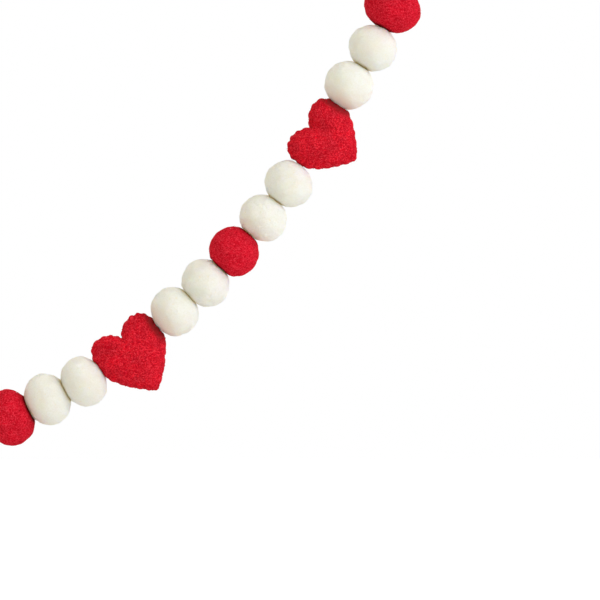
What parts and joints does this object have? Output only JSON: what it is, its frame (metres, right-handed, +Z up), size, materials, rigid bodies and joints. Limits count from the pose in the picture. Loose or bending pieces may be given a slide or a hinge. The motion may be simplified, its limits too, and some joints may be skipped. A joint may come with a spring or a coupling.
{
  "type": "felt ball garland",
  "caption": "Swag of felted wool balls and stuffed felt hearts threaded on a cotton cord, knotted at both ends, with a cord loop past each knot to hang it by.",
  "frame": {"origin": "top of the left loop, where it hangs on its hook; the part hangs down from the two loops, which are level", "axes": "+X along the swag from the left loop to the right one, +Y from the front to the back, +Z up"},
  "size_m": [0.6255, 0.0295, 0.3528],
  "materials": {
    "white_felt": "felted undyed wool, matt, faint dimples",
    "red_felt": "felted red wool, matt, fine pale fibres",
    "heart_felt": "red wool felt, whip stitched at the seam",
    "cord": "twisted undyed cotton cord"
  },
  "bodies": {
    "root": {"white_ball_01": "white_felt", "white_ball_02": "white_felt", "red_ball_03": "red_felt", "white_ball_04": "white_felt", "white_ball_05": "white_felt", "heart_06": "heart_felt", "white_ball_07": "white_felt", "white_ball_08": "white_felt", "red_ball_09": "red_felt", "white_ball_10": "white_felt", "white_ball_11": "white_felt", "heart_12": "heart_felt", "white_ball_13": "white_felt", "white_ball_14": "white_felt", "red_ball_15": "red_felt", "white_ball_16": "white_felt", "white_ball_17": "white_felt", "heart_18": "heart_felt", "white_ball_19": "white_felt", "white_ball_20": "white_felt", "red_ball_21": "red_felt", "white_ball_22": "white_felt", "white_ball_23": "white_felt", "heart_24": "heart_felt", "white_ball_25": "white_felt", "white_ball_26": "white_felt", "red_ball_27": "red_felt", "white_ball_28": "white_felt", "white_ball_29": "white_felt", "heart_30": "heart_felt", "white_ball_31": "white_felt", "white_ball_32": "white_felt", "red_ball_33": "red_felt", "white_ball_34": "white_felt", "white_ball_35": "white_felt", "stringing_cord": "cord", "loop_cord_left": "cord", "loop_cord_right": "cord", "knot_left": "cord", "knot_right": "cord"}
  },
  "joints": []
}
